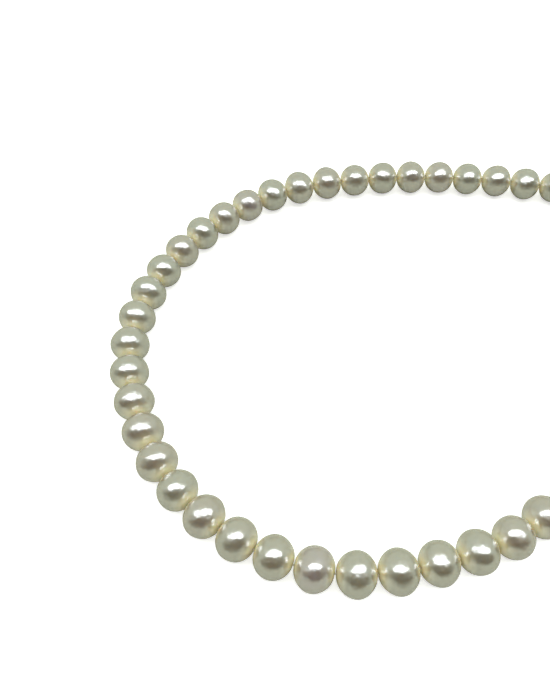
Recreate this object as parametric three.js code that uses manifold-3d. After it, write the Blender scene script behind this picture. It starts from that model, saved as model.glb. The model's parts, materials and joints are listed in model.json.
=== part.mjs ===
// A pearl necklace, laid on a table in a loose oval and left unclasped at the back.
// Oblate pearls are strung on silk without knots. Each end of the silk is crimped in a bead tip,
// one tip carries a lobster clasp on a jump ring, and the other carries the ring that it catches.
// Millimetres, +Z up, the table at Z = 0, the wearer's front towards -Y.

import * as THREE from 'three';
import { mergeVertices } from 'three/addons/utils/BufferGeometryUtils.js';
import Module from 'manifold-3d';

// ---------------------------------------------------------------- driving dimensions

const pearlCount = 49;
const pearlLength = 7.3; // along the drilled hole
const pearlGap = 0.2; // slack that the stringer leaves at each contact
const middlePearlDiameter = 8.5;
const endPearlDiameter = 8.1;
const pearlBoreRadius = 0.5;
const pearlSides = 12;
const pearlRings = 6;

const silkRadius = 0.2;
const silkSides = 6;

const tipBallRadius = 2.0;
const tipWall = 0.5;
const tipLoopRadius = 1.2;
const tipLoopWireRadius = 0.26;
const tipDroop = THREE.MathUtils.degToRad(25);
const crimpRadius = 0.85;
const crimpBoreRadius = 0.34;
const crimpLength = 1.3;

const jumpRingRadius = 2.1;
const jumpRingWireRadius = 0.35;
const catchRingRadius = 2.6;
const catchRingWireRadius = 0.45;

const claspThickness = 3.0;
const claspEyeRadius = 1.9;
const claspEyeHoleRadius = 1.05;
const claspEyeThickness = 1.0;
const throatCentre = [6.7, 0];
const throatRadius = 2.0;
const clawRadius = 3.4;
const noseAngle = THREE.MathUtils.degToRad(-42);
const leverThickness = 1.0;
const leverSlotThickness = 1.3;
const leverTipAngle = THREE.MathUtils.degToRad(-76);
const leverRootAngle = THREE.MathUtils.degToRad(-138);
const leverWidth = 1.1;
const leverTabEnd = [2.2, -3.5];
const rivetCentre = [4.1, -2.0];
const rivetRadius = 0.37;
const rivetHoleRadius = 0.45;
const rivetBossRadius = 1.1;
const springWireRadius = 0.12;

const hookRingHeading = THREE.MathUtils.degToRad(-18);
const claspHeading = THREE.MathUtils.degToRad(-38);
const catchRingHeading = THREE.MathUtils.degToRad(132);

// The string's route on the table, from the hook end round the back, the left and the front.
const routePoints = [
  [48.2, 48.1],
  [26, 52],
  [4, 53.4],
  [-18.5, 51],
  [-32, 47],
  [-44.7, 38.2],
  [-54.6, 26.8],
  [-61.4, 13.5],
  [-64, -1.5],
  [-61.5, -16],
  [-55.4, -30],
  [-45.6, -41.2],
  [-32.4, -49],
  [-17.4, -52],
  [-2.6, -49.8],
  [11.7, -45],
  [24, -37],
  [42, -28.2],
  [60, -19],
  [74.8, -7.6],
  [82.6, 8.5],
  [80, 27],
  [73, 38],
];

// ---------------------------------------------------------------- materials

function finish(color, metalness, roughness) {
  return new THREE.MeshStandardMaterial({ color, metalness, roughness });
}

const nacre = finish(0xd9d6c6, 0.0, 0.22);
const silk = finish(0xf2efe6, 0.0, 0.8);
const silverPlate = finish(0xd8d8da, 1.0, 0.2);
const springSteel = finish(0xa9abad, 1.0, 0.35);

// ---------------------------------------------------------------- small helpers

const wasm = await Module();
wasm.setup();

function toSolid(geometry) {
  const bare = geometry.clone();
  bare.deleteAttribute('normal');
  bare.deleteAttribute('uv');
  const merged = mergeVertices(bare, 1e-4);
  const mesh = new wasm.Mesh({
    numProp: 3,
    vertProperties: new Float32Array(merged.attributes.position.array),
    triVerts: new Uint32Array(merged.index.array),
  });
  return new wasm.Manifold(mesh);
}

function toGeometry(solid) {
  const mesh = solid.getMesh();
  const geometry = new THREE.BufferGeometry();
  geometry.setAttribute('position', new THREE.BufferAttribute(mesh.vertProperties, 3));
  geometry.setIndex(new THREE.BufferAttribute(mesh.triVerts, 1));
  geometry.computeVertexNormals();
  return geometry;
}

function polar(centre, radius, angle) {
  const x = centre[0] + radius * Math.cos(angle);
  const y = centre[1] + radius * Math.sin(angle);
  return new THREE.Vector2(x, y);
}

function arc(centre, radius, from, to, steps) {
  const points = [];
  for (let i = 0; i <= steps; i += 1) {
    points.push(polar(centre, radius, from + ((to - from) * i) / steps));
  }
  return points;
}

// A plate with the given outline, centred on Z = 0.
function plate(outline, thickness) {
  const shape = new THREE.Shape(outline);
  const geometry = new THREE.ExtrudeGeometry(shape, { depth: thickness, bevelEnabled: false });
  geometry.translate(0, 0, -thickness / 2);
  return geometry;
}

function disc(centre, radius, thickness, sides) {
  return plate(arc(centre, radius, 0, 2 * Math.PI * (1 - 1 / sides), sides - 1), thickness);
}

// A straight bar with round ends, lying between two points.
function bar(from, to, width, thickness, endSteps) {
  const heading = Math.atan2(to[1] - from[1], to[0] - from[0]);
  const quarter = Math.PI / 2;
  const outline = [
    ...arc(to, width / 2, heading - quarter, heading + quarter, endSteps),
    ...arc(from, width / 2, heading + quarter, heading + 3 * quarter, endSteps),
  ];
  return plate(outline, thickness);
}

// A curved bar with round ends that follows a circle.
function curvedBar(centre, radius, from, to, width, thickness, steps, endSteps) {
  const start = polar(centre, radius, from).toArray();
  const end = polar(centre, radius, to).toArray();
  const outline = [
    ...arc(centre, radius + width / 2, from, to, steps),
    ...arc(end, width / 2, to, to + Math.PI, endSteps).slice(1, -1),
    ...arc(centre, radius - width / 2, to, from, steps),
    ...arc(start, width / 2, from + Math.PI, from + 2 * Math.PI, endSteps).slice(1, -1),
  ];
  return plate(outline, thickness);
}

// A ring of round wire in the XY plane.
function wireRing(radius, wireRadius, sides, wireSides) {
  const profile = arc([radius, 0], wireRadius, 0, 2 * Math.PI, wireSides);
  profile[wireSides].copy(profile[0]);
  const geometry = new THREE.LatheGeometry(profile, sides);
  geometry.rotateX(Math.PI / 2);
  return geometry;
}

// A rod of round wire along a curve.
function wireAlong(curve, wireRadius, sides, steps) {
  const outline = arc([0, 0], wireRadius, 0, 2 * Math.PI * (1 - 1 / sides), sides - 1);
  const shape = new THREE.Shape(outline);
  return new THREE.ExtrudeGeometry(shape, { steps, extrudePath: curve, bevelEnabled: false });
}

// ---------------------------------------------------------------- the string's route

const pearlPitch = pearlLength + pearlGap;
const routeVectors = routePoints.map(([x, y]) => new THREE.Vector3(x, y, 0));
const route = new THREE.CatmullRomCurve3(routeVectors, false, 'centripetal');
route.arcLengthDivisions = 4000;

function pearlDiameter(index) {
  const fromMiddle = Math.abs((2 * index) / (pearlCount - 1) - 1);
  return THREE.MathUtils.lerp(middlePearlDiameter, endPearlDiameter, fromMiddle);
}

// Where each pearl lies: its centre and the direction of its drilled hole.
const seats = [];
for (let index = 0; index < pearlCount; index += 1) {
  const along = (index * pearlPitch) / route.getLength();
  const centre = route.getPointAt(along);
  centre.z = pearlDiameter(index) / 2;
  seats.push({ centre, direction: route.getTangentAt(along) });
}

function mouth(seat, side) {
  return seat.centre.clone().addScaledVector(seat.direction, (side * pearlLength) / 2);
}

// The points where two neighbours bend against each other, and where the bead tips hang on.
const contacts = [];
contacts.push(seats[0].centre.clone().addScaledVector(seats[0].direction, -pearlPitch / 2));
for (let index = 1; index < pearlCount; index += 1) {
  const before = mouth(seats[index - 1], 1);
  contacts.push(before.lerp(mouth(seats[index], -1), 0.5));
}
const last = seats[pearlCount - 1];
contacts.push(last.centre.clone().addScaledVector(last.direction, pearlPitch / 2));

// ---------------------------------------------------------------- pieces

// An oblate pearl, drilled through its short axis, which lies along local X.
function pearlGeometry(diameter) {
  const halfLength = pearlLength / 2;
  const radius = diameter / 2;
  const mouthAngle = Math.asin(pearlBoreRadius / radius);
  const profile = [];
  for (let ring = 0; ring <= pearlRings; ring += 1) {
    const angle = mouthAngle + ((Math.PI - 2 * mouthAngle) * ring) / pearlRings;
    profile.push(new THREE.Vector2(radius * Math.sin(angle), -halfLength * Math.cos(angle)));
  }
  profile.push(profile[0].clone());
  const geometry = new THREE.LatheGeometry(profile, pearlSides);
  geometry.rotateZ(-Math.PI / 2);
  return geometry;
}

// A bead tip: a hollow ball over the crimp and a loop, along local X from the contact at the origin.
function beadTipGeometry(loopUpright) {
  const ballCentre = pearlGap / 2 + tipBallRadius;
  const innerRadius = tipBallRadius - tipWall;
  const holeRadius = pearlBoreRadius + 0.1;
  const outerMouth = Math.asin(holeRadius / tipBallRadius);
  const innerMouth = Math.asin(holeRadius / innerRadius);
  const profile = [];
  for (let ring = 0; ring <= pearlRings; ring += 1) {
    const angle = Math.PI - ((Math.PI - innerMouth) * ring) / pearlRings;
    profile.push(new THREE.Vector2(innerRadius * Math.sin(angle), -innerRadius * Math.cos(angle)));
  }
  for (let ring = 0; ring <= pearlRings; ring += 1) {
    const angle = outerMouth + ((Math.PI - outerMouth) * ring) / pearlRings;
    profile.push(new THREE.Vector2(tipBallRadius * Math.sin(angle), -tipBallRadius * Math.cos(angle)));
  }
  profile[0].x = 0;
  profile[profile.length - 1].x = 0;
  const ball = new THREE.LatheGeometry(profile, pearlSides);
  ball.rotateZ(-Math.PI / 2);
  ball.translate(ballCentre, 0, 0);

  const stemStart = ballCentre + tipBallRadius - 0.3;
  const stemEnd = stemStart + 0.3 + tipLoopWireRadius * 1.4;
  const stem = new THREE.CylinderGeometry(0.36, 0.36, stemEnd - stemStart, 10);
  stem.rotateZ(-Math.PI / 2);
  stem.translate((stemStart + stemEnd) / 2, 0, 0);

  const loop = wireRing(tipLoopRadius, tipLoopWireRadius, 16, 6);
  if (loopUpright) {
    loop.rotateX(Math.PI / 2);
  }
  loop.translate(tipLoopCentre(), 0, 0);
  return toGeometry(toSolid(ball).add(toSolid(stem)).add(toSolid(loop)));
}

function tipLoopCentre() {
  return pearlGap / 2 + 2 * tipBallRadius + tipLoopWireRadius * 0.7 + tipLoopRadius;
}

function crimpGeometry() {
  const half = crimpLength / 2;
  const profile = [
    new THREE.Vector2(crimpBoreRadius, -half),
    new THREE.Vector2(crimpRadius, -half),
    new THREE.Vector2(crimpRadius, half),
    new THREE.Vector2(crimpBoreRadius, half),
    new THREE.Vector2(crimpBoreRadius, -half),
  ];
  const geometry = new THREE.LatheGeometry(profile, 10);
  geometry.rotateZ(-Math.PI / 2);
  geometry.translate(pearlGap / 2 + tipBallRadius, 0, 0);
  return geometry;
}

// The clasp's pieces share one local frame: the eye at the origin, the nose towards +X.
function claspBodyGeometry() {
  const torsoOutline = [
    new THREE.Vector2(0.7, -1.45),
    new THREE.Vector2(2.2, -2.1),
    new THREE.Vector2(3.5, -2.85),
    new THREE.Vector2(4.7, -2.8),
    new THREE.Vector2(5.2, -1.2),
    new THREE.Vector2(5.2, 2.9),
    new THREE.Vector2(4.2, 2.75),
    new THREE.Vector2(2.4, 2.1),
    new THREE.Vector2(0.7, 1.45),
  ];
  const torso = toSolid(plate(torsoOutline, claspThickness));
  const clawMiddle = (clawRadius + throatRadius) / 2;
  const clawWidth = clawRadius - throatRadius;
  const clawEnd = THREE.MathUtils.degToRad(150);
  const claw = toSolid(
    curvedBar(throatCentre, clawMiddle, noseAngle, clawEnd, clawWidth, claspThickness, 22, 6),
  );
  const boss = toSolid(disc(rivetCentre, rivetBossRadius, claspThickness, 20));
  const throat = toSolid(disc(throatCentre, throatRadius, claspThickness + 1, 28));
  const eye = toSolid(disc([0, 0], claspEyeRadius, claspEyeThickness, 24));
  const eyeHole = toSolid(disc([0, 0], claspEyeHoleRadius, claspEyeThickness + 1, 20));
  const eyeRelief = toSolid(disc([0, 0], claspEyeRadius + 0.15, claspThickness + 1, 24));
  const slotOutline = [
    new THREE.Vector2(1.9, -4.5),
    new THREE.Vector2(5.6, -4.5),
    new THREE.Vector2(5.6, -0.3),
    new THREE.Vector2(2.7, -0.3),
    new THREE.Vector2(2.4, -1.2),
  ];
  const slot = toSolid(plate(slotOutline, leverSlotThickness));
  const rivetHole = toSolid(disc(rivetCentre, rivetHoleRadius, claspThickness + 1, 16));
  const bridge = toSolid(bar([0, 0], [2.4, 0], 2.6, claspEyeThickness, 6));
  const solid = torso
    .subtract(eyeRelief)
    .add(claw)
    .add(boss)
    .add(bridge)
    .add(eye)
    .subtract(throat)
    .subtract(slot)
    .subtract(eyeHole)
    .subtract(rivetHole);
  return toGeometry(solid);
}

function claspLeverGeometry() {
  const middle = (clawRadius + throatRadius) / 2;
  const gate = toSolid(
    curvedBar(throatCentre, middle, leverRootAngle, leverTipAngle, leverWidth, leverThickness, 8, 6),
  );
  const root = toSolid(disc(rivetCentre, 0.95, leverThickness, 20));
  const tab = toSolid(bar(rivetCentre, leverTabEnd, 0.9, leverThickness, 6));
  const hole = toSolid(disc(rivetCentre, rivetHoleRadius, leverThickness + 1, 16));
  return toGeometry(gate.add(root).add(tab).subtract(hole));
}

function rivetGeometry() {
  return disc(rivetCentre, rivetRadius, claspThickness, 16);
}

// A hairpin of wire that bears on the slot's back wall and pushes the lever shut.
function springGeometry() {
  const points = [
    [4.5, -0.5],
    [3.6, -0.5],
    [3.0, -0.52],
    [2.85, -0.68],
    [3.0, -0.84],
    [3.6, -0.85],
    [4.3, -0.86],
  ];
  const curve = new THREE.CatmullRomCurve3(points.map(([x, y]) => new THREE.Vector3(x, y, 0)));
  return wireAlong(curve, springWireRadius, 6, 14);
}

function silkGeometry() {
  const tipEnd = pearlGap / 2 + tipBallRadius + crimpLength / 2 + 0.3;
  const points = [tipPoint(hookTip, tipEnd), tipPoint(hookTip, tipEnd / 2)];
  for (let index = 0; index < pearlCount; index += 1) {
    points.push(contacts[index]);
    points.push(seats[index].centre);
  }
  points.push(contacts[pearlCount]);
  points.push(tipPoint(ringTip, tipEnd / 2));
  points.push(tipPoint(ringTip, tipEnd));
  const curve = new THREE.CatmullRomCurve3(points, false, 'centripetal');
  curve.arcLengthDivisions = 4000;
  return wireAlong(curve, silkRadius, silkSides, 2 * pearlCount + 6);
}

// ---------------------------------------------------------------- the two ends

// A bead tip hangs from its contact, heads away from the strand and droops to the table.
function tipAt(contact, heading) {
  const frame = new THREE.Group();
  frame.position.copy(contact);
  frame.rotation.set(0, tipDroop, heading, 'ZYX');
  frame.updateMatrixWorld(true);
  return frame;
}

function tipPoint(tip, along) {
  return new THREE.Vector3(along, 0, 0).applyMatrix4(tip.matrixWorld);
}

function headingOf(vector) {
  return Math.atan2(vector.y, vector.x);
}

const hookTip = tipAt(contacts[0], headingOf(seats[0].direction.clone().negate()));
const ringTip = tipAt(contacts[pearlCount], headingOf(last.direction));

// The jump ring stands on its edge: the tip's loop holds its near side, the clasp's eye its far side.
const hookLoop = tipPoint(hookTip, tipLoopCentre());
const jumpRingHeight = jumpRingRadius + jumpRingWireRadius;
const claspHeight = claspThickness / 2;
const nearReach = Math.sqrt(jumpRingRadius ** 2 - (jumpRingHeight - hookLoop.z) ** 2);
const farReach = Math.sqrt(jumpRingRadius ** 2 - (jumpRingHeight - claspHeight) ** 2);

function ahead(from, heading, distance, height) {
  const x = from.x + distance * Math.cos(heading);
  const y = from.y + distance * Math.sin(heading);
  return new THREE.Vector3(x, y, height);
}

const jumpRingCentre = ahead(hookLoop, hookRingHeading, nearReach, jumpRingHeight);
const claspEye = ahead(jumpRingCentre, hookRingHeading, farReach, claspHeight);

// The catch ring leans from the other tip's loop down to the table.
const ringLoop = tipPoint(ringTip, tipLoopCentre());
const catchDrop = ringLoop.z - catchRingWireRadius;
const catchLean = Math.asin(catchDrop / (2 * catchRingRadius));
const catchReach = catchRingRadius * Math.cos(catchLean);
const catchHeight = (ringLoop.z + catchRingWireRadius) / 2;
const catchRingCentre = ahead(ringLoop, catchRingHeading, catchReach, catchHeight);

// ---------------------------------------------------------------- assembly

const necklace = new THREE.Group();

function addPiece(name, geometry, material, parent = necklace) {
  const mesh = new THREE.Mesh(geometry, material);
  mesh.name = name;
  parent.add(mesh);
  return mesh;
}

for (let index = 0; index < pearlCount; index += 1) {
  const name = `pearl_${String(index + 1).padStart(2, '0')}`;
  const pearl = addPiece(name, pearlGeometry(pearlDiameter(index)), nacre);
  pearl.position.copy(seats[index].centre);
  pearl.rotation.z = headingOf(seats[index].direction);
}

addPiece('silk_thread', silkGeometry(), silk);

addPiece('hook_end_tip', beadTipGeometry(false), silverPlate, hookTip);
addPiece('hook_end_crimp', crimpGeometry(), silverPlate, hookTip);
addPiece('ring_end_tip', beadTipGeometry(true), silverPlate, ringTip);
addPiece('ring_end_crimp', crimpGeometry(), silverPlate, ringTip);
necklace.add(hookTip, ringTip);

const jumpRing = addPiece(
  'jump_ring',
  wireRing(jumpRingRadius, jumpRingWireRadius, 24, 8),
  silverPlate,
);
jumpRing.position.copy(jumpRingCentre);
jumpRing.rotation.set(Math.PI / 2, 0, hookRingHeading, 'ZYX');

const catchRing = addPiece(
  'catch_ring',
  wireRing(catchRingRadius, catchRingWireRadius, 24, 8),
  silverPlate,
);
catchRing.position.copy(catchRingCentre);
catchRing.rotation.set(0, catchLean, catchRingHeading, 'ZYX');

const clasp = new THREE.Group();
clasp.position.copy(claspEye);
clasp.rotation.z = claspHeading;
addPiece('clasp_body', claspBodyGeometry(), silverPlate, clasp);
addPiece('clasp_lever', claspLeverGeometry(), silverPlate, clasp);
addPiece('clasp_rivet', rivetGeometry(), silverPlate, clasp);
addPiece('clasp_spring', springGeometry(), springSteel, clasp);
necklace.add(clasp);

// The origin is the middle of the necklace's outline, on the table.
const part = new THREE.Group();
part.add(necklace);
part.updateMatrixWorld(true);
const middle = new THREE.Box3().setFromObject(part, true).getCenter(new THREE.Vector3());
necklace.position.set(-middle.x, -middle.y, 0);

export default part;
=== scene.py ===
# %% [markdown]
# # A strand of oblate pearls, unclasped, on a white table
#
# The CAD model is the fixed frame: it says where each pearl lies, how the strand bends and where the
# clasp is. This lesson puts the looks around it. It starts with the camera and the light, because a
# pearl is mostly a mirror of its room. Then it makes the pearls, the silk inside them, and the metal
# findings that close the necklace at the wearer's nape.

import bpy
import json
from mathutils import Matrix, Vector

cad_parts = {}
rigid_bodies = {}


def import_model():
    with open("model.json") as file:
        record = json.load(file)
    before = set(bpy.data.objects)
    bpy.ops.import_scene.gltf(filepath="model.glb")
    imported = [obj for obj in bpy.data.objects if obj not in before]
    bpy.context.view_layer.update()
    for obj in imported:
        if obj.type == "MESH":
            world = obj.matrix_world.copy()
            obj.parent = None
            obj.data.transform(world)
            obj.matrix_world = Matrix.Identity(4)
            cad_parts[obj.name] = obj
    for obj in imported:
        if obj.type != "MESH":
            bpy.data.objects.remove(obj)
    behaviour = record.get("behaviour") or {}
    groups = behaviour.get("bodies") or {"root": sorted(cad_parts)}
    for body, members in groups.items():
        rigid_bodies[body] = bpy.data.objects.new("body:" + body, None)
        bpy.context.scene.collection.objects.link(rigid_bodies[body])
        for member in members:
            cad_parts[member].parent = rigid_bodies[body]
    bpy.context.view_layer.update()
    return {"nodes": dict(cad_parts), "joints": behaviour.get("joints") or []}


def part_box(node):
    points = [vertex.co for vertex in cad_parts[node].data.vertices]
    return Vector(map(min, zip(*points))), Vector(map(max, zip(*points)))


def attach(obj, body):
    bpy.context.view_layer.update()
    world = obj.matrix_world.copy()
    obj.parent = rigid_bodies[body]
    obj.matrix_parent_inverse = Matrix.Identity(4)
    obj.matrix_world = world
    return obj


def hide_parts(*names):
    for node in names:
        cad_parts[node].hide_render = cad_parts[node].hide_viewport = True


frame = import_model()

# %% The frame's facts
import json
import math
import random

import bmesh
import bpy
from mathutils import Vector

joints = frame["joints"]
nodes = frame["nodes"]

# %% [markdown]
# ## Small tools
#
# Blender counts in metres and a jeweller in millimetres, so one function turns one into the other.
# An operator acts on everything that is selected, so another function leaves one piece selected. In
# edit mode, faces and edges are chosen by a test on their place, which still works if the mesh gets
# finer later.

# %% Small tools
def mm(size):
    return size / 1000


def select_only(*pieces):
    bpy.ops.object.select_all(action="DESELECT")
    for piece in pieces:
        piece.select_set(True)
    bpy.context.view_layer.objects.active = pieces[0]


def edit(piece):
    select_only(piece)
    bpy.ops.object.mode_set(mode="EDIT")
    bpy.ops.mesh.select_all(action="DESELECT")


def done():
    bpy.ops.object.mode_set(mode="OBJECT")


def choose(piece, kind, test):
    """In edit mode, selects the VERT, EDGE or FACE items that pass the test, and nothing else."""
    bpy.ops.mesh.select_mode(type=kind)
    bpy.ops.mesh.select_all(action="DESELECT")
    mesh = bmesh.from_edit_mesh(piece.data)
    items = {"VERT": mesh.verts, "EDGE": mesh.edges, "FACE": mesh.faces}[kind]
    chosen = [item for item in items if test(item)]
    for item in chosen:
        item.select_set(True)
    bmesh.update_edit_mesh(piece.data)
    return len(chosen)


def middle(item):
    """The middle of an edge or a face."""
    return sum((corner.co for corner in item.verts), Vector()) / len(item.verts)


def settle(piece):
    """Puts a piece's place, turn and size into its mesh, so that the object sits at the origin."""
    select_only(piece)
    bpy.ops.object.transform_apply(location=True, rotation=True, scale=True)


def aim(direction):
    """The turn that points a piece's X axis this way."""
    level = math.hypot(direction.x, direction.y)
    return (0, math.atan2(-direction.z, level), math.atan2(direction.y, direction.x))


def face_outwards(piece):
    edit(piece)
    bpy.ops.mesh.select_all(action="SELECT")
    bpy.ops.mesh.remove_doubles(threshold=mm(0.001))
    bpy.ops.mesh.normals_make_consistent(inside=False)
    done()


def apply_modifier(piece, kind, **settings):
    """Adds a modifier with these settings and applies it at once."""
    select_only(piece)
    modifier = piece.modifiers.new(kind.lower(), kind)
    for name, value in settings.items():
        setattr(modifier, name, value)
    bpy.ops.object.modifier_apply(modifier=modifier.name)


# %% [markdown]
# ## The camera
#
# The camera is close by, held above the front of the strand and tilted well down, so the near
# pearls come out larger than the far ones. A camera's view is three
# decisions: where it stands, how far it tilts, and how long its lens is. The far right of the
# necklace and its clasp are left outside the frame.

# %% The camera
camera_place = Vector((mm(-41.7), mm(-92.5), mm(127.0)))
camera_tilt_down = math.radians(53.7)
lens_length = 45.6  # for a sensor 36 mm wide

camera_data = bpy.data.cameras.new("camera")
camera_data.sensor_fit = "HORIZONTAL"
camera_data.sensor_width = 36
camera_data.lens = lens_length
camera_data.clip_start = mm(5)
camera = bpy.data.objects.new("camera", camera_data)
camera.location = camera_place
camera.rotation_euler = (math.pi / 2 - camera_tilt_down, 0, 0)
bpy.context.scene.collection.objects.link(camera)
bpy.context.scene.camera = camera
print("camera at", [round(1000 * x, 1) for x in camera_place], "mm")

# %% [markdown]
# ## Colours and material nodes
#
# A hex colour is written for the screen, in sRGB, while a shader counts in linear light. One
# function turns one into the other. Another adds a node with its settings, its plain numbers and
# the wires that come into it, so that a material reads from top to bottom.

# %% Colours and material nodes
def linear(hex_colour):
    channels = [int(hex_colour[i : i + 2], 16) / 255 for i in (1, 3, 5)]
    curve = [c / 12.92 if c <= 0.04045 else ((c + 0.055) / 1.055) ** 2.4 for c in channels]
    return (*curve, 1.0)


def add_node(tree, kind, settings=None, values=None, links=None):
    node = tree.nodes.new(kind)
    for name, value in (settings or {}).items():
        setattr(node, name, value)
    for name, value in (values or {}).items():
        node.inputs[name].default_value = value
    for name, socket in (links or {}).items():
        tree.links.new(socket, node.inputs[name])
    return node


def new_material(name):
    material = bpy.data.materials.new(name)
    material.use_nodes = True
    material.node_tree.nodes.clear()
    return material, material.node_tree


def ramp(node, stops):
    """Sets a colour ramp's stops, each a place from 0 to 1 and a colour."""
    band = node.color_ramp
    while len(band.elements) < len(stops):
        band.elements.new(0.5)
    for element, (place, colour) in zip(band.elements, stops):
        element.position = place
        element.color = colour


# %% [markdown]
# ## The table and the light
#
# Each pearl shows the room. A long oval softbox hangs nearly overhead, and each pearl repeats it as
# a white lens shape just above its middle. Under it they show the dim half of the room behind the
# camera, paler again near the horizon, and lowest of all the pale table. So there is one softbox,
# and a world that is dim in front and pale behind. What the camera sees of the world itself is plain
# and pale. The table has two looks: almost white for the camera, and a middle tone for the light
# that it throws back at the pearls, because light thrown back by pure white would wash them out.

# %% The table
table_size = 3.0
bpy.ops.object.select_all(action="DESELECT")
bpy.ops.mesh.primitive_circle_add(vertices=96, radius=table_size / 2, fill_type="NGON")
table = bpy.context.active_object
table.name = "table"
white_board, tree = new_material("matt white board")
# Matt coated paper: almost white, with no gloss, and a faint mottle that only shows close up.
coordinates = add_node(tree, "ShaderNodeTexCoord")
mottle = add_node(
    tree,
    "ShaderNodeTexNoise",
    values={"Scale": 1 / mm(20)},
    links={"Vector": coordinates.outputs["Object"]},
)
tint = add_node(tree, "ShaderNodeValToRGB", links={"Fac": mottle.outputs["Fac"]})
ramp(tint, [(0.3, linear("#f6f6f4")), (0.7, linear("#f9f9f8"))])
paper = add_node(
    tree,
    "ShaderNodeBsdfPrincipled",
    values={"Roughness": 0.9},
    links={"Base Color": tint.outputs["Color"]},
)
glow = add_node(tree, "ShaderNodeEmission", values={"Strength": 0.62})
lit_paper = add_node(
    tree, "ShaderNodeAddShader", links={0: paper.outputs["BSDF"], 1: glow.outputs["Emission"]}
)
dim_paper = add_node(tree, "ShaderNodeBsdfDiffuse", values={"Color": (0.58, 0.58, 0.49, 1)})
seen = add_node(tree, "ShaderNodeLightPath")
surface = add_node(
    tree,
    "ShaderNodeMixShader",
    links={
        0: seen.outputs["Is Camera Ray"],
        1: dim_paper.outputs["BSDF"],
        2: lit_paper.outputs["Shader"],
    },
)
add_node(tree, "ShaderNodeOutputMaterial", links={"Surface": surface.outputs["Shader"]})
table.data.materials.append(white_board)

# %% The softbox and the room
softbox_height = 0.6
softbox_data = bpy.data.lights.new("softbox", "AREA")
softbox_data.shape = "ELLIPSE"
softbox_data.size = 2.3 * softbox_height
softbox_data.size_y = 0.62 * softbox_height
softbox_data.energy = 3.6
softbox_data.color = (0.96, 1.0, 1.03)
softbox = bpy.data.objects.new("softbox", softbox_data)
softbox.location = (-0.05 * softbox_height, -0.18 * softbox_height, softbox_height)
bpy.context.scene.collection.objects.link(softbox)

world = bpy.data.worlds.new("room")
world.use_nodes = True
bpy.context.scene.world = world
tree = world.node_tree
tree.nodes.clear()
direction = add_node(tree, "ShaderNodeTexCoord")
parts = add_node(tree, "ShaderNodeSeparateXYZ", links={0: direction.outputs["Generated"]})
front_to_back = add_node(
    tree,
    "ShaderNodeMapRange",
    settings={"interpolation_type": "SMOOTHSTEP"},
    values={"From Min": -0.7, "From Max": 0.15},
    links={"Value": parts.outputs["Y"]},
)
near_horizon = add_node(
    tree,
    "ShaderNodeMapRange",
    settings={"interpolation_type": "SMOOTHSTEP"},
    values={"From Min": 0.32, "From Max": -0.02, "To Max": 0.6},
    links={"Value": parts.outputs["Z"]},
)
brightest = add_node(
    tree,
    "ShaderNodeMath",
    settings={"operation": "MAXIMUM"},
    links={0: front_to_back.outputs["Result"], 1: near_horizon.outputs["Result"]},
)
room_light = add_node(tree, "ShaderNodeValToRGB", links={"Fac": brightest.outputs["Value"]})
ramp(room_light, [(0.0, (0.11, 0.095, 0.08, 1)), (1.0, (0.66, 0.71, 0.59, 1))])
seen = add_node(tree, "ShaderNodeLightPath")
backdrop = add_node(
    tree,
    "ShaderNodeMix",
    settings={"data_type": "RGBA"},
    values={7: (1.0, 1.0, 1.0, 1)},
    links={0: seen.outputs["Is Camera Ray"], 6: room_light.outputs["Color"]},
)
shine = add_node(tree, "ShaderNodeBackground", links={"Color": backdrop.outputs[2]})
add_node(tree, "ShaderNodeOutputWorld", links={"Surface": shine.outputs["Background"]})
bpy.context.scene.view_settings.view_transform = "Standard"
print("softbox", softbox_data.size, "x", softbox_data.size_y, "m")

# %% [markdown]
# ## The strand's contacts
#
# The frame's joints say where two pearls meet: in the middle of the narrow gap between them. Each
# pearl's drilled hole lies between two such contacts, and that gives its direction without
# measuring any mesh.

# %% The strand's contacts
pearl_names = sorted(name for name in nodes if name.startswith("pearl_"))
strand = ["hook_end_tip", *pearl_names, "ring_end_tip"]
meeting = {frozenset((j["parent"], j["child"])): Vector(j["pos_m"]) for j in joints}
contacts = [meeting[frozenset(pair)] for pair in zip(strand, strand[1:])]
silk_length = sum((b - a).length for a, b in zip(contacts, contacts[1:]))
print(len(pearl_names), "pearls on", round(1000 * silk_length, 1), "mm of silk")

# %% [markdown]
# ## Nacre
#
# A pearl is coated in thousands of aragonite plates, each thinner than a wavelength of light. Light
# sinks in and comes back from many depths, which gives a soft glow under a strong gloss. A metal
# would tint the gloss, so the skin is not metallic. It has a high index of refraction, which mirrors
# the room clearly and without a tint, full subsurface scattering, and a sharper coat on top. Its
# body is darker and warmer than the pearl looks, because much of what passes for its colour is the
# pale room. Every pearl has its own overtone, a number kept on its mesh, from greenish cream to rose.

# %% Nacre
nacre, tree = new_material("polished freshwater nacre")
coordinates = add_node(tree, "ShaderNodeTexCoord")
overtone = add_node(tree, "ShaderNodeAttribute", settings={"attribute_name": "overtone"})
# Clouds in the body colour are 3 mm wide, about a third of a pearl.
clouds = add_node(
    tree,
    "ShaderNodeTexNoise",
    values={"Scale": 1 / mm(3), "Detail": 2.0},
    links={"Vector": coordinates.outputs["Object"]},
)
drift = add_node(
    tree,
    "ShaderNodeMath",
    settings={"operation": "MULTIPLY_ADD"},
    values={1: 0.35, 2: -0.17},
    links={0: clouds.outputs["Fac"]},
)
tone = add_node(
    tree,
    "ShaderNodeMath",
    settings={"operation": "ADD", "use_clamp": True},
    links={0: overtone.outputs["Fac"], 1: drift.outputs["Value"]},
)
body_colour = add_node(tree, "ShaderNodeValToRGB", links={"Fac": tone.outputs["Value"]})
ramp(
    body_colour,
    [
        (0.0, linear("#87846a")),
        (0.4, linear("#8c846a")),
        (0.75, linear("#90826b")),
        (1.0, linear("#958486")),
    ],
)
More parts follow.
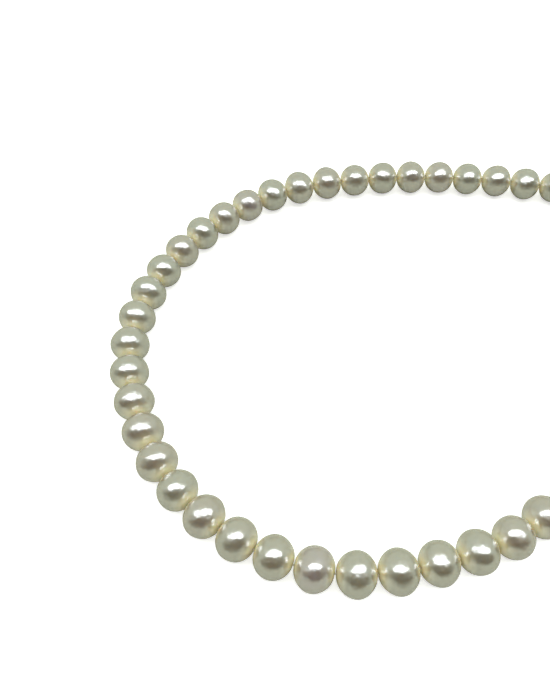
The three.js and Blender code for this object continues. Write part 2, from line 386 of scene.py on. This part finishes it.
# Round the mouths the body colour is blended towards a pale cream. This is painted light: it stands in
# for the light that each pearl throws on its neighbour where they meet.
mouth = add_node(tree, "ShaderNodeAttribute", settings={"attribute_name": "mouth"})
colour_with_painted_glow = add_node(
    tree,
    "ShaderNodeMix",
    settings={"data_type": "RGBA"},
    values={7: linear("#d6cda8")},
    links={0: mouth.outputs["Fac"], 6: body_colour.outputs["Color"]},
)
# Growth leaves the skin faintly uneven: long swells of 1.6 mm and a fine grain of 0.35 mm.
swells = add_node(
    tree,
    "ShaderNodeTexNoise",
    values={"Scale": 1 / mm(1.6), "Detail": 1.0},
    links={"Vector": coordinates.outputs["Object"]},
)
swell_bump = add_node(
    tree,
    "ShaderNodeBump",
    values={"Strength": 1.0, "Distance": mm(0.15)},
    links={"Height": swells.outputs["Fac"]},
)
# Here and there is a pinprick pit, at most 0.12 mm wide, where the skin has not quite closed.
pit_places = add_node(
    tree,
    "ShaderNodeTexVoronoi",
    values={"Scale": 1 / mm(3.5)},
    links={"Vector": coordinates.outputs["Object"]},
)
pits = add_node(
    tree,
    "ShaderNodeMapRange",
    values={"From Min": 0.015, "From Max": 0.035},
    links={"Value": pit_places.outputs["Distance"]},
)
pit_bump = add_node(
    tree,
    "ShaderNodeBump",
    values={"Strength": 1.0, "Distance": mm(0.04)},
    links={"Height": pits.outputs["Result"], "Normal": swell_bump.outputs["Normal"]},
)
grain = add_node(
    tree,
    "ShaderNodeTexNoise",
    values={"Scale": 1 / mm(0.35), "Detail": 2.0},
    links={"Vector": coordinates.outputs["Object"]},
)
grain_bump = add_node(
    tree,
    "ShaderNodeBump",
    values={"Strength": 1.0, "Distance": mm(0.006)},
    links={"Height": grain.outputs["Fac"], "Normal": pit_bump.outputs["Normal"]},
)
# Light also passes from pearl to pearl where they meet. Subsurface scattering stops at the end of
# one object, so a faint warm glow at the mouths stands in for it.
passed_on = add_node(
    tree,
    "ShaderNodeMath",
    settings={"operation": "MULTIPLY"},
    values={1: 0.06},
    links={0: mouth.outputs["Fac"]},
)
skin = add_node(
    tree,
    "ShaderNodeBsdfPrincipled",
    values={
        "Metallic": 0.0,
        "Roughness": 0.24,
        "Subsurface Weight": 1.0,
        "Subsurface Radius": (1.0, 0.7, 0.4),
        "Subsurface Scale": mm(2.0),
        "IOR": 2.8,
        "Specular IOR Level": 1.0,
        "Coat Weight": 1.0,
        "Coat Roughness": 0.09,
        "Coat IOR": 1.6,
        "Emission Color": linear("#e3d3a0"),
    },
    links={
        "Emission Strength": passed_on.outputs["Value"],
        "Base Color": colour_with_painted_glow.outputs[2],
        "Normal": grain_bump.outputs["Normal"],
        "Coat Normal": grain_bump.outputs["Normal"],
    },
)
add_node(tree, "ShaderNodeOutputMaterial", links={"Surface": skin.outputs["BSDF"]})

# %% [markdown]
# ## One drilled pearl
#
# A sphere is only the start. These pearls are a little wider than long and are drilled the short
# way, so each is close to an ellipsoid, with its two drilled ends pressed in slightly more. The
# sphere is changed ring by ring: each ring moves along the hole, and the nearer it is to a pole, the
# more it is held back. Then the faces at both poles are taken away, the two openings are narrowed to
# the drill's size and bridged into a bore, and the rim of each mouth is bevelled, as the drill's
# exit is worn.

# %% One drilled pearl
bore_radius = mm(0.45)
mouth_bevel = mm(0.06)
model_radius = mm(4.25)
ring_count, ring_segments = 48, 96
free_half_length = mm(3.85)
press_limit = mm(4.2)
press_sharpness = 16

bpy.ops.object.select_all(action="DESELECT")
bpy.ops.mesh.primitive_uv_sphere_add(
    segments=ring_segments, ring_count=ring_count, radius=model_radius, rotation=(0, math.pi / 2, 0)
)
model_pearl = bpy.context.active_object
model_pearl.name = "model_pearl"
settle(model_pearl)
edit(model_pearl)


def from_hole_axis(place):
    return math.hypot(place.y, place.z)


def pressed(station):
    """Where a ring ends up along the hole: free near the equator, held back a little at a pole."""
    blend = station**-press_sharpness + press_limit**-press_sharpness
    return blend ** (-1 / press_sharpness)


# A ring is known by its distance from the hole's axis, which stays the same as it moves.
for step in range(1, ring_count // 2):
    angle = math.pi * step / ring_count
    ring_radius = model_radius * math.sin(angle)
    on_sphere = model_radius * math.cos(angle)
    moved = pressed(on_sphere * free_half_length / model_radius)
    for side in (-1, 1):
        ring_size = choose(
            model_pearl,
            "VERT",
            lambda v: v.co.x * side > 0 and abs(from_hole_axis(v.co) - ring_radius) < mm(0.002),
        )
        assert ring_size == ring_segments
        bpy.ops.transform.translate(value=(side * (moved - on_sphere), 0, 0))
choose(model_pearl, "FACE", lambda face: from_hole_axis(middle(face)) < bore_radius * 1.1)
bpy.ops.mesh.delete(type="FACE")
for side in (-1, 1):
    choose(model_pearl, "EDGE", lambda edge: edge.is_boundary and edge.verts[0].co.x * side > 0)
    rim = bmesh.from_edit_mesh(model_pearl.data)
    found = max(from_hole_axis(v.co) for v in rim.verts if v.select)
    narrow = bore_radius / found
    bpy.ops.transform.resize(value=(1, narrow, narrow), center_override=(0, 0, 0))
choose(model_pearl, "EDGE", lambda edge: edge.is_boundary)
bpy.ops.mesh.bridge_edge_loops()
choose(
    model_pearl,
    "EDGE",
    lambda edge: abs(from_hole_axis(middle(edge)) - bore_radius) < mm(0.01)
    and abs(edge.verts[0].co.x - edge.verts[1].co.x) < mm(0.01),
)
bpy.ops.mesh.bevel(offset=mouth_bevel, segments=2)
done()
face_outwards(model_pearl)
model_half_length = max(v.co.x for v in model_pearl.data.vertices)
print("one pearl has", len(model_pearl.data.polygons), "faces, length", 2000 * model_half_length, "mm")

# %% [markdown]
# ## Forty-nine pearls
#
# Each pearl is a copy of the model with its own mesh. No two grew alike, so each gets its own width
# along two axes, its own roll about the silk, and a gentle Displace from a clouds texture. The
# displacement fades towards the mouths, where the neighbours are closest, and a narrow gap stays
# between two pearls. It keeps them clear of each other at rest. At the end of a joint's travel they
# can still dig into each other, by a few hundredths of a millimetre.

# %% Swells for the pearls' outlines
growth = bpy.data.textures.new("uneven growth", "CLOUDS")
growth.noise_scale = mm(5)
growth.noise_depth = 0
growth_height = mm(0.35)
painted_glow_reach, painted_glow_fade = 0.85, 0.38

away_from_mouth = model_pearl.vertex_groups.new(name="away from the mouths")
# The mouth weight is 1 close to each neck and fades away from it. The nacre uses it to paint light
# there, as a paler cream colour and a faint emitted glow.
painted_glow_strengths = []
for vertex in model_pearl.data.vertices:
    share = min(1, from_hole_axis(vertex.co) / model_radius)
    away_from_mouth.add([vertex.index], share**3, "REPLACE")
    painted_glow_strengths.append(min(1, max(0, (painted_glow_reach - share) / painted_glow_fade)))
model_pearl.data.attributes.new("mouth", "FLOAT", "POINT")
model_pearl.data.attributes["mouth"].data.foreach_set("value", painted_glow_strengths)

# %% The pearls
random.seed(49)
contact_gap = mm(0.2)
narrowest_share = 0.965  # of the frame's width, for the narrowest pearl
common_overtone, overtone_spread = 0.42, 0.3
pearls = {}
for index, name in enumerate(pearl_names):
    low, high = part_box(name)
    start, end = contacts[index], contacts[index + 1]
    hole = end - start
    width = high.z - low.z
    piece = model_pearl.copy()
    piece.data = model_pearl.data.copy()
    piece.name = f"{name}_nacre"
    bpy.context.scene.collection.objects.link(piece)
    length = hole.length - contact_gap
    piece.scale = (
        length / (2 * model_half_length),
        width / (2 * model_radius) * random.uniform(narrowest_share, 1.0),
        width / (2 * model_radius) * random.uniform(narrowest_share, 1.0),
    )
    piece.rotation_euler = (random.uniform(0, 2 * math.pi), 0, math.atan2(hole.y, hole.x))
    piece.location = (start + end) / 2
    settle(piece)
    apply_modifier(
        piece,
        "DISPLACE",
        texture=growth,
        texture_coords="LOCAL",
        strength=growth_height,
        mid_level=0.5,
        vertex_group=away_from_mouth.name,
    )
    select_only(piece)
    bpy.ops.object.shade_smooth_by_angle(angle=math.radians(40))
    own_overtone = piece.data.attributes.new("overtone", "FLOAT", "POINT")
    value = min(1, max(0, random.gauss(common_overtone, overtone_spread)))
    own_overtone.data.foreach_set("value", [value] * len(piece.data.vertices))
    piece.data.materials.clear()
    piece.data.materials.append(nacre)
    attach(piece, name)
    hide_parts(name)
    pearls[name] = piece
bpy.data.objects.remove(model_pearl)
print(len(pearls), "pearls")

# %% [markdown]
# ## Silk
#
# The thread is three plies of silk, twisted together, and it can only be glimpsed between two
# pearls and beside the bead tips. A cylinder is cut into short lengths, three of its sides are
# drawn in to leave three plies, and a Simple Deform twists it. Each pearl carries the piece inside
# it, from one contact to the next, so the thread bends where the strand bends.

# %% The silk's finish
silk, tree = new_material("twisted silk thread")
# Degummed silk, cream and softly lustrous, with fibres along the twist every 0.05 mm.
coordinates = add_node(tree, "ShaderNodeTexCoord")
fibres = add_node(
    tree,
    "ShaderNodeTexNoise",
    values={"Scale": 1 / mm(0.05), "Detail": 2.0},
    links={"Vector": coordinates.outputs["Object"]},
)
cream = add_node(tree, "ShaderNodeValToRGB", links={"Fac": fibres.outputs["Fac"]})
ramp(cream, [(0.3, linear("#e2dac4")), (0.7, linear("#f4efe2"))])
fuzz = add_node(
    tree,
    "ShaderNodeBump",
    values={"Strength": 0.6, "Distance": mm(0.02)},
    links={"Height": fibres.outputs["Fac"]},
)
thread = add_node(
    tree,
    "ShaderNodeBsdfPrincipled",
    values={"Roughness": 0.6, "Sheen Weight": 0.4, "Sheen Roughness": 0.4},
    links={"Base Color": cream.outputs["Color"], "Normal": fuzz.outputs["Normal"]},
)
add_node(tree, "ShaderNodeOutputMaterial", links={"Surface": thread.outputs["BSDF"]})

# %% One length of silk
silk_radius = mm(0.2)
ply_sides = 12
model_length = mm(7.5)
turns = 2
cuts_along = 15
drawn_in = 0.72  # how far the valleys between the plies go towards the middle

bpy.ops.object.select_all(action="DESELECT")
bpy.ops.mesh.primitive_cylinder_add(
    vertices=ply_sides, radius=silk_radius, depth=model_length, rotation=(0, math.pi / 2, 0)
)
model_silk = bpy.context.active_object
model_silk.name = "model_silk"
settle(model_silk)
edit(model_silk)
choose(model_silk, "EDGE", lambda edge: abs(edge.verts[0].co.x - edge.verts[1].co.x) > mm(1))
bpy.ops.mesh.subdivide(number_cuts=cuts_along)


def between_plies(place):
    return math.cos(3 * math.atan2(place.z, place.y)) < -0.5


choose(model_silk, "VERT", lambda v: between_plies(v.co))
bpy.ops.transform.resize(value=(1, drawn_in, drawn_in), center_override=(0, 0, 0))
done()
apply_modifier(
    model_silk, "SIMPLE_DEFORM", deform_method="TWIST", deform_axis="X", angle=turns * 2 * math.pi
)
face_outwards(model_silk)
print("one length of silk has", len(model_silk.data.polygons), "faces")

# %% The silk, length by length
def lay_silk(name, start, end, body):
    reach = end - start
    piece = model_silk.copy()
    piece.data = model_silk.data.copy()
    piece.name = name
    bpy.context.scene.collection.objects.link(piece)
    piece.scale.x = reach.length / model_length
    piece.rotation_euler = aim(reach)
    piece.location = (start + end) / 2
    settle(piece)
    select_only(piece)
    bpy.ops.object.shade_smooth()
    piece.data.materials.append(silk)
    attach(piece, body)
    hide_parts("silk_thread")
    return piece


def centre_of(node):
    low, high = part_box(node)
    return (low + high) / 2


for index, name in enumerate(pearl_names):
    lay_silk(f"silk_in_{name}", contacts[index], contacts[index + 1], name)
hook_crimp, ring_crimp = centre_of("hook_end_crimp"), centre_of("ring_end_crimp")
lay_silk("silk_in_hook_end_tip", contacts[0], hook_crimp, "hook_end_tip")
lay_silk("silk_in_ring_end_tip", contacts[-1], ring_crimp, "ring_end_tip")
bpy.data.objects.remove(model_silk)

# %% [markdown]
# ## Polished silver plate and spring steel
#
# The findings are cast or bent, tumbled smooth and silver plated. Plate is a pure metal reflection.
# What makes it look handled is the roughness: a fine haze of tumbling marks, drawn 0.12 mm wide
# because the real ones are too fine to show.

# %% The metals' finishes
def metal(name, bright, dull, smoothest, roughest, mark_width, mark_depth):
    """A metal whose colour and roughness drift together with its fine marks."""
    material, tree = new_material(name)
    coordinates = add_node(tree, "ShaderNodeTexCoord")
    marks = add_node(
        tree,
        "ShaderNodeTexNoise",
        values={"Scale": 1 / mark_width, "Detail": 3.0},
        links={"Vector": coordinates.outputs["Object"]},
    )
    colour = add_node(tree, "ShaderNodeValToRGB", links={"Fac": marks.outputs["Fac"]})
    ramp(colour, [(0.3, linear(dull)), (0.7, linear(bright))])
    haze = add_node(
        tree,
        "ShaderNodeMapRange",
        values={"From Min": 0.3, "From Max": 0.7, "To Min": roughest, "To Max": smoothest},
        links={"Value": marks.outputs["Fac"]},
    )
    dents = add_node(
        tree,
        "ShaderNodeBump",
        values={"Strength": 0.5, "Distance": mark_depth},
        links={"Height": marks.outputs["Fac"]},
    )
    surface = add_node(
        tree,
        "ShaderNodeBsdfPrincipled",
        values={"Metallic": 1.0},
        links={
            "Base Color": colour.outputs["Color"],
            "Roughness": haze.outputs["Result"],
            "Normal": dents.outputs["Normal"],
        },
    )
    add_node(tree, "ShaderNodeOutputMaterial", links={"Surface": surface.outputs["BSDF"]})
    return material


# Tumbled silver plate is near white, with soft-edged reflections.
silver = metal("tumbled silver plate", "#e9e9ea", "#e0e0e2", 0.1, 0.17, mm(0.12), mm(0.003))
# Drawn spring steel is greyer and duller.
spring_steel = metal("drawn spring steel", "#b4b6b8", "#9a9c9f", 0.25, 0.4, mm(0.12), mm(0.004))
for name in ("hook_end_crimp", "ring_end_crimp", "clasp_spring"):
    node_metal = spring_steel if name == "clasp_spring" else silver
    nodes[name].data.materials.clear()
    nodes[name].data.materials.append(node_metal)

# %% [markdown]
# ## Rings of wire
#
# A jump ring is a turn of round wire sawn from a coil, so its ends meet in a cut. The catch ring is
# soldered shut, which leaves a slight swelling at its joint. Both start as a torus. The cut is made
# by taking out a narrow wedge of faces, closing both ends and bevelling them. The swelling is made
# by fattening a short stretch.

# %% Rings of wire
ring_sides = 96


def add_ring(name, radius, wire):
    bpy.ops.object.select_all(action="DESELECT")
    bpy.ops.mesh.primitive_torus_add(
        major_radius=radius, minor_radius=wire, major_segments=ring_sides, minor_segments=24
    )
    ring = bpy.context.active_object
    ring.name = name
    return ring


def around(place):
    """The angle of a place on a ring that lies flat."""
    return math.atan2(place.y, place.x)


def saw_through(ring, angle, segments=1):
    """Takes out a wedge of the torus, then closes and bevels the wire's two ends."""
    half_wedge = math.pi / ring_sides * segments
    edit(ring)
    choose(ring, "FACE", lambda face: abs(around(middle(face)) - angle) < half_wedge)
    bpy.ops.mesh.delete(type="FACE")
    choose(ring, "EDGE", lambda edge: edge.is_boundary)
    bpy.ops.mesh.fill_holes(sides=0)
    choose(ring, "FACE", lambda face: len(face.verts) > 4)
    bpy.ops.mesh.bevel(offset=mm(0.06), segments=2)
    done()
    face_outwards(ring)


def swell(ring, angle, half_width, height):
    """Fattens a short stretch of the wire in two steps, so that it rises gently."""
    edit(ring)
    for share in (1.0, 0.5):
        choose(ring, "FACE", lambda face: abs(around(middle(face)) - angle) < half_width * share)
        bpy.ops.transform.shrink_fatten(value=height / 2)
    done()


def finish_metal(piece, node, body=None):
    settle(piece)
    select_only(piece)
    bpy.ops.object.shade_smooth_by_angle(angle=math.radians(50))
    piece.data.materials.clear()
    piece.data.materials.append(silver)
    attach(piece, body or node)
    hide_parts(node)


places = {joint["name"]: Vector(joint["pos_m"]) for joint in joints}

# %% The jump ring and the catch ring
jump_ring_radius, jump_ring_wire = mm(2.1), mm(0.35)
catch_ring_radius, catch_ring_wire = mm(2.6), mm(0.45)

jump_ring = add_ring("jump_ring_wire", jump_ring_radius, jump_ring_wire)
saw_through(jump_ring, math.radians(60))
towards_clasp = places["clasp_body_swing"] - places["jump_ring_lift"]
jump_ring.rotation_euler = (math.pi / 2, 0, math.atan2(towards_clasp.y, towards_clasp.x))
jump_ring.location = centre_of("jump_ring")
finish_metal(jump_ring, "jump_ring")

catch_ring = add_ring("catch_ring_wire", catch_ring_radius, catch_ring_wire)
swell(catch_ring, math.radians(120), math.radians(14), mm(0.08))
lean = centre_of("catch_ring") - places["catch_ring_lift"]
catch_ring.rotation_euler = aim(lean)
catch_ring.location = centre_of("catch_ring")
finish_metal(catch_ring, "catch_ring")
print("rings made")

# %% [markdown]
# ## Bead tips
#
# A bead tip is stamped like a small clam: two cups close over the crimp, the silk enters through a
# hole where they meet, and a strip from the back is curled into a loop. The ball starts as a sphere
# with its poles on the silk's line. The faces at the silk's pole come away for the hole, a groove is
# cut round the seam, the faces at the back are drawn out into the strip, and Solidify gives the cups
# their wall. The loop is a ring with its curl left a little open.

# %% Bead tips
tip_ball_radius = mm(2.0)
tip_wall = mm(0.35)
tip_hole_radius = mm(0.55)
tip_start = mm(0.1)
tip_loop_radius = mm(1.2)
tip_loop_wire = mm(0.26)
tip_segments, tip_rings = 48, 32
tip_seam_width = mm(0.07)
tip_seam_depth = 0.955  # of the ball's radius
tip_strip_radius, tip_strip_length = mm(0.38), mm(0.35)


def bead_tip(name, upright):
    """A bead tip along X, with the contact at the origin."""
    bpy.ops.object.select_all(action="DESELECT")
    bpy.ops.mesh.primitive_uv_sphere_add(
        segments=tip_segments, ring_count=tip_rings, radius=tip_ball_radius, rotation=(0, math.pi / 2, 0)
    )
    tip = bpy.context.active_object
    tip.name = name
    settle(tip)
    edit(tip)
    choose(
        tip, "FACE", lambda face: from_hole_axis(middle(face)) < tip_hole_radius and middle(face).x < 0
    )
    bpy.ops.mesh.delete(type="FACE")
    choose(
        tip,
        "EDGE",
        lambda edge: max(abs(v.co.y) for v in edge.verts) < mm(0.001)
        and from_hole_axis(middle(edge)) > mm(0.6),
    )
    bpy.ops.mesh.bevel(offset=tip_seam_width, segments=2)
    choose(tip, "VERT", lambda v: abs(v.co.y) < mm(0.01) and from_hole_axis(v.co) > mm(0.7))
    bpy.ops.transform.resize(value=(tip_seam_depth,) * 3, center_override=(0, 0, 0))
    choose(
        tip,
        "FACE",
        lambda face: from_hole_axis(middle(face)) < tip_strip_radius and middle(face).x > 0,
    )
    bpy.ops.mesh.extrude_region_move(TRANSFORM_OT_translate={"value": (tip_strip_length, 0, 0)})
    bpy.ops.transform.resize(value=(0.2, 1, 1), center_override=(tip_ball_radius + mm(0.4), 0, 0))
    done()
    apply_modifier(tip, "SOLIDIFY", thickness=tip_wall, offset=-1)
    face_count = len(tip.data.polygons)
    tip.location.x = tip_start + tip_ball_radius
    settle(tip)
    loop = add_ring(f"{name}_loop", tip_loop_radius, tip_loop_wire)
    saw_through(loop, math.radians(-150), segments=2)
    loop.rotation_euler.x = math.pi / 2 if upright else 0
    loop.location.x = tip_start + 2 * tip_ball_radius + 0.7 * tip_loop_wire + tip_loop_radius
    settle(loop)
    select_only(tip, loop)
    bpy.ops.object.join()
    print(name, "has", face_count, "faces in its cups")
    return tip


def hang_tip(tip, contact, crimp, node):
    tip.rotation_euler = aim(crimp - contact)
    tip.location = contact
    finish_metal(tip, node)


hang_tip(bead_tip("hook_end_tip_cups", False), contacts[0], hook_crimp, "hook_end_tip")
hang_tip(bead_tip("ring_end_tip_cups", True), contacts[-1], ring_crimp, "ring_end_tip")

# %% [markdown]
# ## The lobster clasp
#
# The clasp is cast, so it has no sharp edge anywhere: its corners are as round as the wax that it
# was cast from. Its CAD solid has the right outline and walls but crisp corners. A copy is welded,
# remeshed into even small squares, and smoothed until the corners melt. The lever gets the same on a
# finer scale. The rivet is a cylinder with its rims bevelled, filed flush with both cheeks.

# %% The clasp's castings
def cast_copy(node, name, voxel, passes):
    piece = bpy.data.objects.new(name, nodes[node].data.copy())
    bpy.context.scene.collection.objects.link(piece)
    face_outwards(piece)
    apply_modifier(piece, "REMESH", mode="VOXEL", voxel_size=voxel)
    apply_modifier(piece, "SMOOTH", factor=0.5, iterations=passes)
    print(name, "has", len(piece.data.polygons), "faces")
    return piece


finish_metal(cast_copy("clasp_body", "clasp_casting", mm(0.08), 14), "clasp_body")
finish_metal(cast_copy("clasp_lever", "lever_casting", mm(0.05), 8), "clasp_lever")

# %% The rivet
rivet_low, rivet_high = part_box("clasp_rivet")
rivet_radius = (rivet_high.x - rivet_low.x) / 2
half_pin = (rivet_high.z - rivet_low.z) / 2
bpy.ops.object.select_all(action="DESELECT")
bpy.ops.mesh.primitive_cylinder_add(vertices=48, radius=rivet_radius, depth=2 * half_pin)
rivet = bpy.context.active_object
rivet.name = "clasp_rivet_pin"
edit(rivet)
choose(rivet, "EDGE", lambda edge: min(abs(v.co.z) for v in edge.verts) > half_pin - mm(0.01))
bpy.ops.mesh.bevel(offset=mm(0.09), segments=3)
done()
rivet.location = centre_of("clasp_rivet")
finish_metal(rivet, "clasp_rivet", body="clasp_body")
